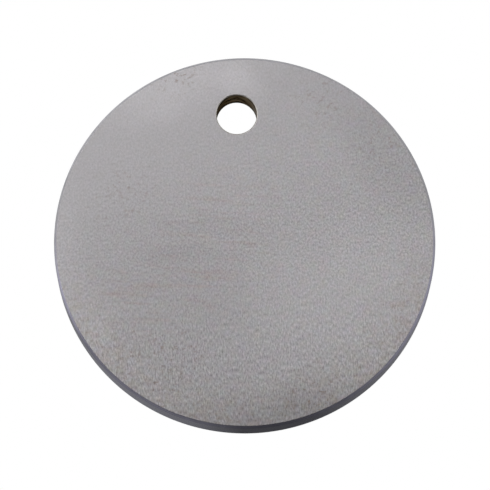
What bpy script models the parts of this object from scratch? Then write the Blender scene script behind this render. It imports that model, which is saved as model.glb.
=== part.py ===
"""Blind disc for closing a pipe flange: a flat round steel plate with one plain through hole near its rim.

The plate lies flat, with its back face on Z = 0, its front face up and the hole's centre on the +Y axis.
All lengths are in metres.
"""

import math

import bmesh
import bpy

# Driving dimensions
PLATE_DIAMETER = 0.127
PLATE_THICKNESS = 0.010
RIM_CHAMFER = 0.0008  # width and depth of the 45 degree chamfer along both rim edges
HOLE_DIAMETER = 0.0135
HOLE_CENTRE_TO_RIM = 0.0198
HOLE_CHAMFER = 0.0003  # width and depth of the 45 degree edge break at both ends of the hole

# Dimensions that follow from them
PLATE_RADIUS = PLATE_DIAMETER / 2
HOLE_RADIUS = HOLE_DIAMETER / 2
HOLE_CENTRE_Y = PLATE_RADIUS - HOLE_CENTRE_TO_RIM

# How finely the round shapes are divided
RIM_SEGMENTS = 256
HOLE_SEGMENTS = 96
SHARP_ANGLE = math.radians(30)  # edges that turn by more than this stay crisp

CUTTER_OVERRUN = 0.001  # how far the drill shape runs past both faces

# Blasted steel plate
STEEL_COLOUR = (0.42, 0.41, 0.405, 1.0)
STEEL_METALLIC = 1.0
STEEL_ROUGHNESS = 0.45


def clear_scene():
    """Removes every object that the scene starts with."""
    for scene_object in list(bpy.data.objects):
        bpy.data.objects.remove(scene_object)


def steel_material():
    """The plate's material: plain grey satin steel."""
    material = bpy.data.materials.new("blasted_steel")
    material.use_nodes = True
    shader = material.node_tree.nodes["Principled BSDF"]
    shader.inputs["Base Color"].default_value = STEEL_COLOUR
    shader.inputs["Metallic"].default_value = STEEL_METALLIC
    shader.inputs["Roughness"].default_value = STEEL_ROUGHNESS
    return material


def turned_solid(name, outline, segments):
    """A solid of revolution about Z from an open line of (radius, height) points, with flat end caps."""
    shape = bmesh.new()
    corners = [shape.verts.new((radius, 0, height)) for radius, height in outline]
    sides = [shape.edges.new(pair) for pair in zip(corners, corners[1:])]
    bmesh.ops.spin(
        shape,
        geom=corners + sides,
        cent=(0, 0, 0),
        axis=(0, 0, 1),
        angle=math.tau,
        steps=segments,
        use_merge=True,
    )
    bmesh.ops.holes_fill(shape, edges=shape.edges, sides=0)
    bmesh.ops.recalc_face_normals(shape, faces=shape.faces)
    mesh = bpy.data.meshes.new(name)
    shape.to_mesh(mesh)
    shape.free()
    solid = bpy.data.objects.new(name, mesh)
    bpy.context.scene.collection.objects.link(solid)
    return solid


def chamfered_plate(name):
    """The round plate before drilling, with both rim edges chamfered."""
    outline = [
        (PLATE_RADIUS - RIM_CHAMFER, 0),
        (PLATE_RADIUS, RIM_CHAMFER),
        (PLATE_RADIUS, PLATE_THICKNESS - RIM_CHAMFER),
        (PLATE_RADIUS - RIM_CHAMFER, PLATE_THICKNESS),
    ]
    return turned_solid(name, outline, RIM_SEGMENTS)


def drill_shape():
    """What the drill and countersink take away: the hole's cylinder, flared at 45 degrees at both ends."""
    flare = HOLE_CHAMFER + CUTTER_OVERRUN
    outline = [
        (HOLE_RADIUS + flare, -CUTTER_OVERRUN),
        (HOLE_RADIUS, HOLE_CHAMFER),
        (HOLE_RADIUS, PLATE_THICKNESS - HOLE_CHAMFER),
        (HOLE_RADIUS + flare, PLATE_THICKNESS + CUTTER_OVERRUN),
    ]
    cutter = turned_solid("drill_shape", outline, HOLE_SEGMENTS)
    cutter.location.y = HOLE_CENTRE_Y
    cutter.hide_render = True
    cutter.display_type = "WIRE"
    return cutter


def drill(plate, cutter):
    """Cuts the hole out of the plate."""
    cut = plate.modifiers.new("hole", "BOOLEAN")
    cut.operation = "DIFFERENCE"
    cut.object = cutter


def divide_evenly(plate):
    """Divides the two big faces into triangles that are as even as possible."""
    division = plate.modifiers.new("even_triangles", "TRIANGULATE")
    division.ngon_method = "BEAUTY"


def apply_modifiers(solid):
    """Gives the object the mesh that its modifiers make, and drops the modifiers."""
    bpy.context.view_layer.update()
    evaluated = solid.evaluated_get(bpy.context.evaluated_depsgraph_get())
    mesh = bpy.data.meshes.new_from_object(evaluated)
    solid.modifiers.clear()
    solid.data = mesh


def shade(plate):
    """Smooth round walls with crisp edges between them and the flat faces."""
    plate.data.shade_smooth()
    plate.data.set_sharp_from_angle(angle=SHARP_ANGLE)


def build():
    clear_scene()
    plate = chamfered_plate("blind_disc")
    drill(plate, drill_shape())
    divide_evenly(plate)
    apply_modifiers(plate)
    shade(plate)
    plate.data.materials.clear()
    plate.data.materials.append(steel_material())


build()
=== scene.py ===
"""Looks for the blind disc: blasted steel faces, a turned rim and a drilled hole, in a plain white studio.

Everything is in metres in the frame of the CAD: the back face is on z = 0 and the hole is towards +y.
"""

import math
from types import SimpleNamespace

import bmesh
import bpy
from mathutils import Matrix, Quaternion, Vector, noise


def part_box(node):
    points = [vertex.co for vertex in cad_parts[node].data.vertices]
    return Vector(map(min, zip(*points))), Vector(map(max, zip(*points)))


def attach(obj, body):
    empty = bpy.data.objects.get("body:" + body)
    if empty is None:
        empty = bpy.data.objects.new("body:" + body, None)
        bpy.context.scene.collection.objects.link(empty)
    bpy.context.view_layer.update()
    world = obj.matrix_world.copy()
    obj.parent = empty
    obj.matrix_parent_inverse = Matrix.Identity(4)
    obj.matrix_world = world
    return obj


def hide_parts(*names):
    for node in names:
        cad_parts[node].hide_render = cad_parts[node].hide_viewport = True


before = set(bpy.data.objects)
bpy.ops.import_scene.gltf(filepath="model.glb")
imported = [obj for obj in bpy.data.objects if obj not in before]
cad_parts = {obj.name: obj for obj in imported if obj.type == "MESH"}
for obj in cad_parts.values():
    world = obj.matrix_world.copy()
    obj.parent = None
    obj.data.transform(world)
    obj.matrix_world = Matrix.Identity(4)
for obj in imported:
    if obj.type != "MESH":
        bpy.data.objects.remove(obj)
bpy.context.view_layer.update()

NODE = "blind_disc"
BODY = "root"
MM = 0.001

# How the CAD's vertices are told apart
HOLE_REACH = 0.95  # in disc radii: vertices nearer to the disc's axis than this are the hole's
LEVEL_MARGIN = 0.01 * MM  # vertices this near to the top lie on the front face

# The camera's place and lens
VIEW_AZIMUTH = math.radians(-4.40)
VIEW_ELEVATION = math.radians(76.40)
VIEW_ROLL = math.radians(0.90)
VIEW_DISTANCE_IN_RADII = 20
AIM_SHIFT_IN_RADII = -0.023  # how far towards +y of the disc's centre the camera aims
LENS_MM = 280.4
SENSOR_MM = 36

# Colours: the faces, the rim, the hole's wall and the painted highlight on the hole's edge break.
# A tint multiplies what is under it.
STEEL = (0.460, 0.4455, 0.460)
STAIN_TINT = (0.97, 0.92, 0.84)
SMEAR_TINT = (0.975, 0.915, 0.89)
SPOT = (0.23, 0.16, 0.12, 1)
RIM_GREY = (0.44, 0.43, 0.445, 1)
RIM_BLUE = (0.435, 0.42, 0.508, 1)
WALL_BROWN = (0.120, 0.100, 0.075)
WALL_SHEEN = (0.40, 0.335, 0.25, 1)
# The wall's sheen where light is painted on its right
WALL_SHEEN_PAINTED_LIGHT = (0.40, 0.36, 0.34, 1)
# A painted highlight on the hole's edge break, lighter than bare steel
HOLE_EDGE_HIGHLIGHT = (0.80, 0.76, 0.70)
WHITE = (1, 1, 1, 1)

# How rough each surface is on the whole
FACE_ROUGHNESS = 0.5
RIM_ROUGHNESS = 0.28
WALL_ROUGHNESS = 0.5
HOLE_EDGE_ROUGHNESS = 0.38

# How much the faces vary
GRAIN_CONTRAST = 2.2
CLOUD_CONTRAST = 0.06
TINT_SCATTER = 0.17  # how far the hue strays from grey
SMOOTH_AREA_CALM = 0.75  # the share of that scatter that is missing in the smooth area
TONE_WANDER = 0.22  # how far the borders of the tones stray, in disc radii

# The grain of the faces, per mm, and how it is squeezed along x, y and z
GRAIN_SCALE = 1.7
ROUND_GRAIN = (1, 0.7, 1)
LONG_GRAIN = (1.25, 0.45, 1)

# The directions in which a rusty smear and a drill line change, per mm: slowly along it and fast across it
SMEAR_ALONG = (0.042, -0.005, 0)
SMEAR_ACROSS = (0.06, 0.5, 0)
DRILL_LINE_ALONG = (0.22, 0, 0)
DRILL_LINE_ACROSS = (0.10, 0, 0.45)
RIM_LINE_SCALES = (0.12, 0.12, 3.2)

# Where rusty smears and small dark spots gather, in disc radii: centre x and y, reach
SMEAR_PLACES = ((-0.12, 0.09, 0.42), (-0.58, -0.29, 0.32), (-0.30, -0.12, 0.35))
SPOT_PLACES = ((-0.32, 0.95, 0.19), (0.30, -0.84, 0.24), (-0.40, -0.56, 0.20), (-0.45, -0.78, 0.20))
FAINT_SPOT_PLACES = ((0.43, 0.74, 0.22), (0.76, 0.45, 0.30), (-0.62, 0.27, 0.25), (-0.62, -0.56, 0.26))

# Soft lighter and darker areas of the faces, in disc radii: centre x and y, half width, half height,
# turn in degrees, and the share by which they are lighter. Some are painted light and painted shade: the
# light patches between the hole and the rim and along the left edge, and the dark band along the border away
# from the hole
TONES_WITH_PAINTED_LIGHT = (
    (0.58, -0.35, 0.75, 0.45, 15, 0.12),
    (0.78, 0.48, 0.50, 0.25, -55, -0.08),
    (-0.40, -0.12, 0.60, 0.42, -30, -0.045),
    (-0.22, 0.11, 0.30, 0.06, -5, -0.05),
    (-0.38, -0.04, 0.30, 0.06, 0, -0.05),
    (-0.30, 0.92, 0.55, 0.26, 15, 0.15),
    (0.02, 0.87, 0.14, 0.16, 0, 0.12),
    (-1.02, 0.05, 0.18, 0.45, 0, 0.07),
    (-0.90, -0.45, 0.25, 0.45, 20, 0.10),
    (-0.66, -0.66, 0.35, 0.07, -45, 0.03),
    (0.12, -1.00, 0.95, 0.20, 9, -0.18),
)

# Light tent: how bright it is overhead, and how bright its wall and the floor are at each azimuth in degrees
TENT_COLOUR = (0.97, 0.98, 1, 1)
TENT_OVERHEAD = 0.01
TENT_WALL = (
    (0, 0.8), (90, 0.8), (135, 0.95), (180, 1.2), (200, 0.32), (225, 0.34),
    (250, 0.24), (266, 0.09), (288, 0.09), (305, 0.18), (340, 0.55), (360, 0.8),
)
TENT_FLOOR = (
    (0, 0.5), (45, 0.72), (90, 0.72), (135, 0.95), (180, 0.45), (200, 0.27), (225, 0.28),
    (250, 0.22), (266, 0.085), (288, 0.085), (305, 0.17), (340, 0.31), (360, 0.5),
)
UNDER_DISC = 0.6  # what is left of the floor's light in the disc's own shadow
SHADOW_CORE = 0.8  # in disc radii: where the shadow starts to fade towards the disc's outline
FLOOR_HALF_IN_RADII = 60
FLOOR_GAP = 0.05 * MM  # how far the floor lies below the back face

# Softboxes: name, azimuth and elevation in degrees, width in metres, power in watts
LIGHT_DISTANCE = 0.6
SOFTBOXES = (
    ("high_right", 20, 66, 0.33, 0.34),
    ("high_back", 70, 66, 0.33, 0.27),
    ("high_left", 110, 66, 0.33, 0.10),
    ("main", 135, 56, 0.36, 0.76),
)

# How finely the disc's skin is divided
RIM_COUNT = 640
HOLE_COUNT = 192
RIM_WALL_STEPS = 40
HOLE_WALL_STEPS = 48
CREASE_STEPS = 4
CREASE = 0.06 * MM  # how far the roundness of a crease reaches to either side of it
RIM_WANDER = 0.08  # the share by which the rim's chamfers vary in size
HOLE_WANDER = 0.25  # the same for the hole's edge breaks

# The tool marks that are real shape, and the bumps that the material adds
TURNING_DEPTH = 0.006 * MM
TURNING_FEED = 0.30 * MM
CHATTER_HEIGHT = 1.5 * MM
DRILL_DEPTH = 0.03 * MM
DRILL_FEED = 0.55 * MM
TEAR_HEIGHT = 0.4 * MM
GRAIN_BUMP_MM = 0.03
RIM_BUMP_MM = 0.012
WALL_BUMP_MM = 0.05
HOLE_EDGE_BUMP_MM = 0.01


def smoothstep(low, high, value):
    """0 below low, 1 above high and an S curve between them."""
    share = min(max((value - low) / (high - low), 0), 1)
    return share * share * (3 - 2 * share)


# ---------------------------------------------------------------- sizes read from the CAD solid


def measure(cad):
    """The disc's sizes, from the CAD solid's vertices: its flat faces have them only round their borders."""
    low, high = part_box(NODE)
    points = [vertex.co for vertex in cad.data.vertices]
    radius = high.x
    around_hole = [p.xy for p in points if p.xy.length < HOLE_REACH * radius]
    middle_x = (min(p.x for p in around_hole) + max(p.x for p in around_hole)) / 2
    middle_y = (min(p.y for p in around_hole) + max(p.y for p in around_hole)) / 2
    hole = Vector((middle_x, middle_y))
    spread = [(p - hole).length for p in around_hole]
    on_top = [p.xy.length for p in points if p.z > high.z - LEVEL_MARGIN]
    return SimpleNamespace(
        radius=radius,
        thickness=high.z - low.z,
        chamfer=radius - max(on_top),
        hole=hole,
        hole_radius=min(spread),
        hole_break=max(spread) - min(spread),
    )


# ---------------------------------------------------------------- shape


def turning_marks(height, angle):
    """Depth of the lathe's marks on the rim, never below 0."""
    feed = noise.noise(Vector((height / TURNING_FEED, 0, 0)))
    chatter = noise.noise(Vector((2 * math.cos(angle), 2 * math.sin(angle), height / CHATTER_HEIGHT)))
    return TURNING_DEPTH * (1.2 + feed + 0.4 * chatter)


def drill_marks(height, angle):
    """Depth of the drill's spiral marks in the hole's wall, never below 0."""
    turn = height / DRILL_FEED + angle / math.tau
    groove = 0.5 + 0.5 * math.sin(math.tau * turn)
    tear = noise.noise(Vector((3 * math.cos(angle), 3 * math.sin(angle), height / TEAR_HEIGHT)))
    return DRILL_DEPTH * (groove + 0.8 * (1 + tear))


def edge_wander(angle, seed):
    """A slow variation round an edge, about -1 to 1. Each seed gives another one."""
    return noise.noise(Vector((3 * math.cos(angle), 3 * math.sin(angle), seed)))


def softened(corners):
    """A line through corners, with each inner one rounded off over CREASE."""
    line = [corners[0]]
    for before, corner, after in zip(corners, corners[1:], corners[2:]):
        start = corner + (before - corner).normalized() * CREASE
        end = corner + (after - corner).normalized() * CREASE
        for i in range(CREASE_STEPS + 1):
            share = i / CREASE_STEPS
            line.append(start.lerp(corner, share).lerp(corner.lerp(end, share), share))
    line.append(corners[-1])
    return line


def wall_line(top, bottom, steps):
    """The whole outline from one face to the other: an edge, a straight wall in steps and the other edge."""
    return top + [top[-1].lerp(bottom[0], i / steps) for i in range(1, steps)] + bottom


def rim_line(disc, angle):
    """The rim's outline at an angle, as (distance from the axis, height) from the front face to the back."""
    upper = disc.chamfer * (1 + RIM_WANDER * edge_wander(angle, 1))
    lower = disc.chamfer * (1 + RIM_WANDER * edge_wander(angle, 2))
    flat = disc.radius - max(upper, lower) - 2 * CREASE
    top = softened([
        Vector((flat, disc.thickness)),
        Vector((disc.radius - upper, disc.thickness)),
        Vector((disc.radius, disc.thickness - upper)),
        Vector((disc.radius, disc.thickness - upper - 2 * CREASE)),
    ])
    bottom = softened([
        Vector((disc.radius, lower + 2 * CREASE)),
        Vector((disc.radius, lower)),
        Vector((disc.radius - lower, 0)),
        Vector((flat, 0)),
    ])
    line = wall_line(top, bottom, RIM_WALL_STEPS)
    for point in line:
        turned = smoothstep(disc.radius - disc.chamfer, disc.radius - 0.5 * disc.chamfer, point.x)
        point.x -= turned * turning_marks(point.y, angle)
    return line


def hole_line(disc, angle):
    """The hole's outline at an angle round its own axis, from the front face to the back."""
    upper = disc.hole_break * (1 + HOLE_WANDER * edge_wander(angle, 3))
    lower = disc.hole_break * (1 + HOLE_WANDER * edge_wander(angle, 4))
    flat = disc.hole_radius + max(upper, lower) + 2 * CREASE
    top = softened([
        Vector((flat, disc.thickness)),
        Vector((disc.hole_radius + upper, disc.thickness)),
        Vector((disc.hole_radius, disc.thickness - upper)),
        Vector((disc.hole_radius, disc.thickness - upper - 2 * CREASE)),
    ])
    bottom = softened([
        Vector((disc.hole_radius, lower + 2 * CREASE)),
        Vector((disc.hole_radius, lower)),
        Vector((disc.hole_radius + lower, 0)),
        Vector((flat, 0)),
    ])
    line = wall_line(top, bottom, HOLE_WALL_STEPS)
    for point in line:
        deep = min(point.y, disc.thickness - point.y)
        drilled = smoothstep(disc.hole_break, 2 * disc.hole_break, deep)
        point.x += drilled * drill_marks(point.y, angle)
    return line


def add_skin(shape, centre, count, line_at):
    """A closed skin round centre from the outlines at count angles. Gives its first and last ring."""
    columns = []
    for i in range(count):
        angle = math.tau * i / count
        outward = Vector((math.cos(angle), math.sin(angle)))
        columns.append([shape.verts.new((*(centre + outward * p.x), p.y)) for p in line_at(angle)])
    for left, right in zip(columns, columns[1:] + columns[:1]):
        for k in range(len(left) - 1):
            face = shape.faces.new((left[k], left[k + 1], right[k + 1], right[k]))
            face.smooth = True
    return [column[0] for column in columns], [column[-1] for column in columns]


def ring_edges(shape, verts):
    """The edges of a closed ring of vertices."""
    return [shape.edges.get((verts[i - 1], verts[i])) for i in range(len(verts))]


def build_disc(disc):
    """The whole skin as one closed mesh."""
    shape = bmesh.new()
    outside = add_skin(shape, Vector((0, 0)), RIM_COUNT, lambda angle: rim_line(disc, angle))
    inside = add_skin(shape, disc.hole, HOLE_COUNT, lambda angle: hole_line(disc, angle))
    for outer, inner in zip(outside, inside):
        border = ring_edges(shape, outer) + ring_edges(shape, inner)
        bmesh.ops.triangle_fill(shape, edges=border, use_beauty=True, normal=(0, 0, 1))
    bmesh.ops.recalc_face_normals(shape, faces=shape.faces)
    mesh = bpy.data.meshes.new("steel_disc")
    shape.to_mesh(mesh)
    shape.free()
    piece = bpy.data.objects.new("steel_disc", mesh)
    bpy.context.scene.collection.objects.link(piece)
    return piece


# ---------------------------------------------------------------- material


class Nodes:
    """Short calls that add shader nodes to a tree. An input is a socket or a plain value."""

    def __init__(self, tree):
        self.tree = tree

    def put(self, socket, value):
        if isinstance(value, bpy.types.NodeSocket):
            self.tree.links.new(value, socket)
        else:
            socket.default_value = value

    def add(self, kind, inputs, output=0, **settings):
        node = self.tree.nodes.new(kind)
        for name, value in settings.items():
            setattr(node, name, value)
        for key, value in inputs.items():
            self.put(node.inputs[key], value)
        return node.outputs[output]

    def math(self, operation, *values):
        return self.add("ShaderNodeMath", dict(enumerate(values)), operation=operation)

    def vector(self, operation, *values):
        return self.add("ShaderNodeVectorMath", dict(enumerate(values)), operation=operation)

    def scaled(self, vector, amounts):
        return self.vector("MULTIPLY", vector, amounts)

    def noise(self, vector, scale, detail=2.0, roughness=0.5):
        inputs = {"Vector": vector, "Scale": scale, "Detail": detail, "Roughness": roughness}
        return self.add("ShaderNodeTexNoise", inputs)

    def scatter(self, vector, scale, detail, roughness=0.5):
        """Three independent noises as one vector, each about 0."""
        inputs = {"Vector": vector, "Scale": scale, "Detail": detail, "Roughness": roughness}
        colour = self.add("ShaderNodeTexNoise", inputs, output="Color")
        return self.vector("SUBTRACT", colour, (0.5, 0.5, 0.5))

    def ramp(self, value, low, high, start=0.0, end=1.0):
        """A smooth step of value from start at low to end at high."""
        inputs = {"Value": value, "From Min": low, "From Max": high, "To Min": start, "To Max": end}
        return self.add("ShaderNodeMapRange", inputs, interpolation_type="SMOOTHSTEP")

    def mix(self, factor, a, b):
        """A colour that goes from a to b."""
        node = self.tree.nodes.new("ShaderNodeMix")
        node.data_type = "RGBA"
        self.put(node.inputs["Factor"], factor)
        self.put(node.inputs[6], a)
        self.put(node.inputs[7], b)
        return node.outputs[2]

    def blend(self, factor, a, b):
        """A number that goes from a to b."""
        return self.add("ShaderNodeMix", {0: factor, 2: a, 3: b}, data_type="FLOAT")

    def times(self, vector, amount):
        """A vector or a colour times a number."""
        return self.add("ShaderNodeVectorMath", {0: vector, "Scale": amount}, operation="SCALE")

    def flat_vector(self, x, y):
        return self.add("ShaderNodeCombineXYZ", {0: x, 1: y})

    def length(self, vector):
        return self.add("ShaderNodeVectorMath", {0: vector}, output="Value", operation="LENGTH")

    def dot(self, vector, direction):
        inputs = {0: vector, 1: direction}
        return self.add("ShaderNodeVectorMath", inputs, output="Value", operation="DOT_PRODUCT")

    def near(self, place, spots):
        """1 at each of the spots (x, y, reach), and 0 out of the reach of all of them."""
        nearest = 0.0
        for x, y, reach in spots:
            distance = self.length(self.vector("SUBTRACT", place, (x, y, 0)))
            nearest = self.math("MAXIMUM", self.ramp(distance, 0.25 * reach, reach, 1, 0), nearest)
        return nearest

    def product(self, first, *others):
        """Several numbers multiplied together."""
        for other in others:
            first = self.math("MULTIPLY", first, other)
        return first


def centred(n, value):
    """A noise value moved so that it varies about 0."""
    return n.math("SUBTRACT", value, 0.5)


def face_grain(n, mm, place):
    """The blasted grain, about 0: round grains by the hole, longer and stronger ones on the far side."""
    round_grain = n.noise(n.scaled(mm, ROUND_GRAIN), GRAIN_SCALE, detail=3.0, roughness=0.65)
    long_grain = n.noise(n.scaled(mm, LONG_GRAIN), GRAIN_SCALE, detail=3.0, roughness=0.65)
    far_side = n.ramp(n.dot(place, (0, 1, 0)), 0.1, -0.7)
    grain = n.blend(far_side, round_grain, long_grain)
    strength = n.ramp(n.dot(place, (-0.3, 1, 0)), 0.85, -0.4, start=0.30, end=0.93)
    return n.product(centred(n, grain), strength)


def low_border(n, place):
    """1 along the border away from the hole, and 0 elsewhere."""
    border = n.ramp(n.length(place), 0.68, 0.96)
    far_side = n.ramp(n.dot(place, (0, 1, 0)), 0.05, -0.5)
    return n.product(border, far_side)


def stain_share(n, mm, place):
    """Where the faces have a warm brown tone: mostly along the border away from the hole."""
    mottle = n.ramp(n.noise(mm, scale=0.38, detail=4.0, roughness=0.6), 0.36, 0.68)
    amount = n.math("MULTIPLY_ADD", low_border(n, place), 0.55, 0.12)
    return n.product(mottle, amount)


def smear_share(n, mm, place):
    """Where the thin rusty smears are."""
    along = n.dot(mm, SMEAR_ALONG)
    across = n.dot(mm, SMEAR_ACROSS)
    lines = n.noise(n.flat_vector(along, across), scale=1.0, detail=3.0)
    return n.product(n.ramp(lines, 0.48, 0.68), n.near(place, SMEAR_PLACES))


def spot_share(n, mm, place):
    """Where the small dark spots are: they gather in places and are rare elsewhere."""
    faint = n.math("MAXIMUM", n.near(place, FAINT_SPOT_PLACES), low_border(n, place))
    where = n.math("MAXIMUM", n.near(place, SPOT_PLACES), n.math("MULTIPLY", faint, 0.6))
    spots = n.ramp(n.noise(mm, scale=0.85), 0.56, 0.72)
    amount = n.math("MULTIPLY_ADD", where, 0.46, 0.05)
    return n.product(spots, amount)


def face_tone_with_painted_light(n, place):
    """How light the faces are: about 1, with soft uneven areas, some of them painted light and painted shade.
    """
    stray = n.times(n.scatter(place, scale=3.0, detail=3.0), TONE_WANDER)
    warped = n.scaled(n.vector("ADD", place, stray), (1, 1, 0))
    level = 1.0
    for x, y, half_width, half_height, turn, amount in TONES_WITH_PAINTED_LIGHT:
        offset = n.vector("SUBTRACT", warped, (x, y, 0))
        cos = math.cos(math.radians(turn))
        sin = math.sin(math.radians(turn))
        along = n.dot(offset, (cos / half_width, sin / half_width, 0))
        across = n.dot(offset, (-sin / half_height, cos / half_height, 0))
        inside = n.ramp(n.length(n.flat_vector(along, across)), 0.2, 1.25, start=1, end=0)
        level = n.math("MULTIPLY_ADD", inside, amount, level)
    return level


def face_tint(n, mm, place):
    """A slight blotchy scatter of hue about white, least in the smooth area by the hole's left side."""
    smooth_area = n.ramp(n.dot(place, (-0.5, 0.87, 0)), 0.1, 0.75)
    amount = n.math("MULTIPLY_ADD", smooth_area, -SMOOTH_AREA_CALM * TINT_SCATTER, TINT_SCATTER)
    scatter = n.scatter(mm, scale=0.3, detail=4.0, roughness=0.65)
    return n.vector("ADD", n.times(scatter, amount), (1, 1, 1))


def face_look(n, mm, place):
    """Blasted steel. place is the position in disc radii and mm the one in millimetres; heights are in mm."""
    grain = face_grain(n, mm, place)
    cloud = centred(n, n.noise(mm, scale=0.135, detail=3.0))
    level = n.math("MULTIPLY_ADD", cloud, CLOUD_CONTRAST, 1.0)
    level = n.math("MULTIPLY_ADD", grain, GRAIN_CONTRAST, level)
    # The tones, some of them painted light and painted shade, scale the steel's colour
    colour = n.times(STEEL, n.product(level, face_tone_with_painted_light(n, place)))
    colour = n.vector("MULTIPLY", colour, face_tint(n, mm, place))
    stain = stain_share(n, mm, place)
    colour = n.mix(stain, colour, n.vector("MULTIPLY", colour, STAIN_TINT))
    colour = n.mix(smear_share(n, mm, place), colour, n.vector("MULTIPLY", colour, SMEAR_TINT))
    colour = n.mix(spot_share(n, mm, place), colour, SPOT)
    roughness = n.math("MULTIPLY_ADD", stain, 0.06, FACE_ROUGHNESS)
    roughness = n.math("MULTIPLY_ADD", grain, 0.25, roughness)
    height = n.math("MULTIPLY", grain, GRAIN_BUMP_MM)
    return SimpleNamespace(colour=colour, roughness=roughness, height=height)


def rim_look(n, mm, place):
    """Turned steel with fine marks that run round the disc, blue-grey on the side away from the hole."""
    lines = centred(n, n.noise(n.scaled(mm, RIM_LINE_SCALES), scale=1.0, detail=3.0, roughness=0.6))
    cloud = centred(n, n.noise(mm, scale=0.35, detail=3.0))
    level = n.math("MULTIPLY_ADD", cloud, 0.35, 1.0)
    level = n.math("MULTIPLY_ADD", lines, 0.45, level)
    blue = n.ramp(n.dot(place, (0, 1, 0)), 0.25, -0.3)
    colour = n.times(n.mix(blue, RIM_GREY, RIM_BLUE), level)
    roughness = n.math("MULTIPLY_ADD", lines, 0.15, RIM_ROUGHNESS)
    height = n.math("MULTIPLY", lines, RIM_BUMP_MM)
    return SimpleNamespace(colour=colour, roughness=roughness, height=height)


def wall_look(n, mm, disc):
    """The drilled wall: brown oxide with drill lines, darker towards the back face by painted shade, and
    lighter and greyer on its right by painted light.
    """
    along = n.dot(mm, DRILL_LINE_ALONG)
    across = n.dot(mm, DRILL_LINE_ACROSS)
    lines = n.noise(n.flat_vector(across, along), scale=1.0)
    streaks = n.ramp(lines, 0.36, 0.64, start=0.45, end=1.7)
    # Painted shade deep in the hole, darkest at the back face
    deep = n.ramp(n.dot(mm, (0, 0, 1)), 0.2, 3.0, start=0.5, end=1)
    # Painted light: the wall gets lighter and greyer towards its right
    to_right = n.math("DIVIDE", n.dot(mm, (1, 0, 0)), disc.hole_radius / MM)
    painted_light_lean = n.ramp(to_right, -0.5, 0.8, start=0.72, end=1.3)
    right = n.ramp(to_right, 0.65, 1.05)
    level = n.product(streaks, deep, painted_light_lean, n.math("MULTIPLY_ADD", right, 0.55, 1.0))
    sheen = n.mix(right, WALL_SHEEN, WALL_SHEEN_PAINTED_LIGHT)
    return SimpleNamespace(
        colour=n.times(WALL_BROWN, level),
        sheen=n.times(sheen, level),
        roughness=WALL_ROUGHNESS,
        height=n.math("MULTIPLY", lines, WALL_BUMP_MM),
    )


def hole_edge_highlight_look(n, mm):
    """The hole's edge break, painted bright as a highlight."""
    grain = n.noise(mm, scale=1.2)
    level = n.math("MULTIPLY_ADD", grain, 0.5, 0.75)
    height = n.math("MULTIPLY", grain, HOLE_EDGE_BUMP_MM)
    return SimpleNamespace(colour=n.times(HOLE_EDGE_HIGHLIGHT, level), roughness=HOLE_EDGE_ROUGHNESS, height=height)


def blend_looks(n, share, first, second):
    """A look that goes from first to second."""
    return SimpleNamespace(
        colour=n.mix(share, first.colour, second.colour),
        roughness=n.blend(share, first.roughness, second.roughness),
        height=n.blend(share, first.height, second.height),
    )


def disc_material(disc):
    """One material for the whole disc, with a different look on the faces, the rim and the hole."""
    material = bpy.data.materials.new("blasted_steel")
    material.use_nodes = True
    tree = material.node_tree
    shader = tree.nodes["Principled BSDF"]
    n = Nodes(tree)
    spot = n.add("ShaderNodeTexCoord", {}, output="Object")
    mm = n.scaled(spot, (1 / MM, 1 / MM, 1 / MM))
    place = n.scaled(spot, (1 / disc.radius, 1 / disc.radius, 0))
    hole_radius = disc.hole_radius / MM
    hole_break = disc.hole_break / MM

    facing = n.add("ShaderNodeTexCoord", {}, output="Normal")
    flatness = n.math("ABSOLUTE", n.dot(facing, (0, 0, 1)))
    rim_share = n.ramp(flatness, 0.97, 0.80)
    from_hole = n.vector("SUBTRACT", n.scaled(mm, (1, 1, 0)), (disc.hole.x / MM, disc.hole.y / MM, 0))
    near_hole = n.ramp(n.length(from_hole), hole_radius + 1.4 * hole_break, hole_radius + 0.9 * hole_break)
    wall_share = n.product(near_hole, n.ramp(flatness, 0.5, 0.3))

    look = blend_looks(n, rim_share, face_look(n, mm, place), rim_look(n, mm, place))
    # The hole's edge break gets a painted highlight
    look = blend_looks(n, near_hole, look, hole_edge_highlight_look(n, mm))
    wall = wall_look(n, mm, disc)
    look = blend_looks(n, wall_share, look, wall)
    n.put(shader.inputs["Base Color"], look.colour)
    n.put(shader.inputs["Roughness"], look.roughness)
    n.put(shader.inputs["Specular Tint"], n.mix(wall_share, WHITE, wall.sheen))
    shader.inputs["Metallic"].default_value = 1.0
    bump = n.add("ShaderNodeBump", {"Strength": 1.0, "Distance": MM, "Height": look.height})
    n.put(shader.inputs["Normal"], bump)
    return material


# ---------------------------------------------------------------- studio


def around(n, outward, stops):
    """A number that depends on a direction's azimuth, through stops of (azimuth in degrees, number)."""
    azimuth = n.math("ARCTAN2", n.dot(outward, (0, 1, 0)), n.dot(outward, (1, 0, 0)))
    node = n.tree.nodes.new("ShaderNodeValToRGB")
    n.put(node.inputs[0], n.math("FRACT", n.math("DIVIDE", azimuth, math.tau)))
    marks = node.color_ramp.elements
    for degrees, number in stops[1:-1]:
        marks.new(degrees / 360)
    for mark, (degrees, number) in zip(marks, stops):
        mark.color = (number, number, number, 1)
    return n.dot(node.outputs["Color"], (1, 0, 0))


def glow(n, kind, strength):
    """Light of a given strength for the disc. What the camera itself sees of it is plain white."""
    seen = n.add("ShaderNodeLightPath", {}, output="Is Camera Ray")
    inputs = {"Color": n.mix(seen, TENT_COLOUR, WHITE), "Strength": n.blend(seen, strength, 1.0)}
    return n.add(kind, inputs)


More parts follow.
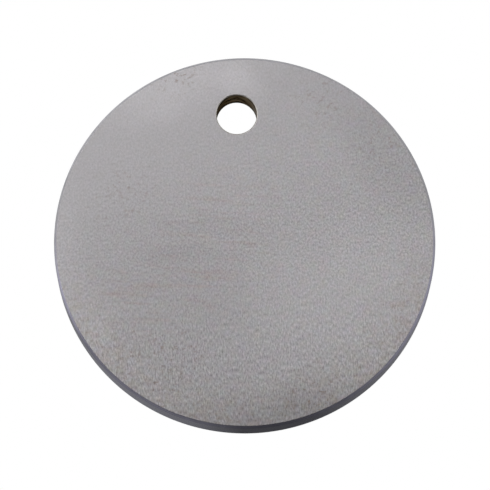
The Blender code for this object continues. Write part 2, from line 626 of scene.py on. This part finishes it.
def build_floor(disc):
    """A plain white floor just under the disc. The light it sends to the disc is dimmest in front."""
    half = FLOOR_HALF_IN_RADII * disc.radius
    mesh = bpy.data.meshes.new("studio_floor")
    corners = [(-half, -half, 0), (half, -half, 0), (half, half, 0), (-half, half, 0)]
    mesh.from_pydata(corners, [], [(0, 1, 2, 3)])
    floor = bpy.data.objects.new("studio_floor", mesh)
    floor.location.z = -FLOOR_GAP
    bpy.context.scene.collection.objects.link(floor)
    material = bpy.data.materials.new("studio_floor")
    material.use_nodes = True
    tree = material.node_tree
    tree.nodes.remove(tree.nodes["Principled BSDF"])
    n = Nodes(tree)
    outward = n.add("ShaderNodeTexCoord", {}, output="Object")
    shadow = n.ramp(n.length(outward), SHADOW_CORE * disc.radius, disc.radius, UNDER_DISC, 1)
    light = glow(n, "ShaderNodeEmission", n.product(shadow, around(n, outward, TENT_FLOOR)))
    n.put(tree.nodes["Material Output"].inputs["Surface"], light)
    mesh.materials.append(material)


def build_world():
    """A light tent round the floor."""
    world = bpy.data.worlds.new("studio")
    bpy.context.scene.world = world
    world.use_nodes = True
    tree = world.node_tree
    tree.nodes.remove(tree.nodes["Background"])
    n = Nodes(tree)
    direction = n.add("ShaderNodeTexCoord", {}, output="Generated")
    overhead = n.ramp(n.dot(direction, (0, 0, 1)), 0.15, 0.9)
    strength = n.blend(overhead, around(n, direction, TENT_WALL), TENT_OVERHEAD)
    light = glow(n, "ShaderNodeBackground", strength)
    n.put(tree.nodes["World Output"].inputs["Surface"], light)


def softbox(name, azimuth, elevation, size, power):
    """A square studio light that faces the disc. The azimuth goes from +x towards +y."""
    data = bpy.data.lights.new(name, "AREA")
    data.size = size
    data.energy = power
    toward = Vector((
        math.cos(azimuth) * math.cos(elevation),
        math.sin(azimuth) * math.cos(elevation),
        math.sin(elevation),
    ))
    light = bpy.data.objects.new(name, data)
    light.location = toward * LIGHT_DISTANCE
    light.rotation_mode = "QUATERNION"
    light.rotation_quaternion = (-toward).to_track_quat("-Z", "Y")
    bpy.context.scene.collection.objects.link(light)


def build_camera(disc):
    """The camera, almost straight above the front face."""
    toward = Vector((
        math.sin(VIEW_AZIMUTH) * math.cos(VIEW_ELEVATION),
        -math.cos(VIEW_AZIMUTH) * math.cos(VIEW_ELEVATION),
        math.sin(VIEW_ELEVATION),
    ))
    aim = Vector((0, AIM_SHIFT_IN_RADII * disc.radius, disc.thickness))
    data = bpy.data.cameras.new("camera")
    data.lens = LENS_MM
    data.sensor_width = SENSOR_MM
    camera = bpy.data.objects.new("camera", data)
    camera.location = aim + toward * (VIEW_DISTANCE_IN_RADII * disc.radius)
    camera.rotation_mode = "QUATERNION"
    level = (-toward).to_track_quat("-Z", "Y")
    camera.rotation_quaternion = level @ Quaternion((0, 0, 1), VIEW_ROLL)
    bpy.context.scene.collection.objects.link(camera)
    bpy.context.scene.camera = camera


disc = measure(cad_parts[NODE])
piece = build_disc(disc)
piece.data.materials.append(disc_material(disc))
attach(piece, BODY)
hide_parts(NODE)

build_floor(disc)
build_world()
for name, azimuth, elevation, size, power in SOFTBOXES:
    softbox(name, math.radians(azimuth), math.radians(elevation), size, power)
build_camera(disc)
bpy.context.scene.view_settings.view_transform = "Standard"
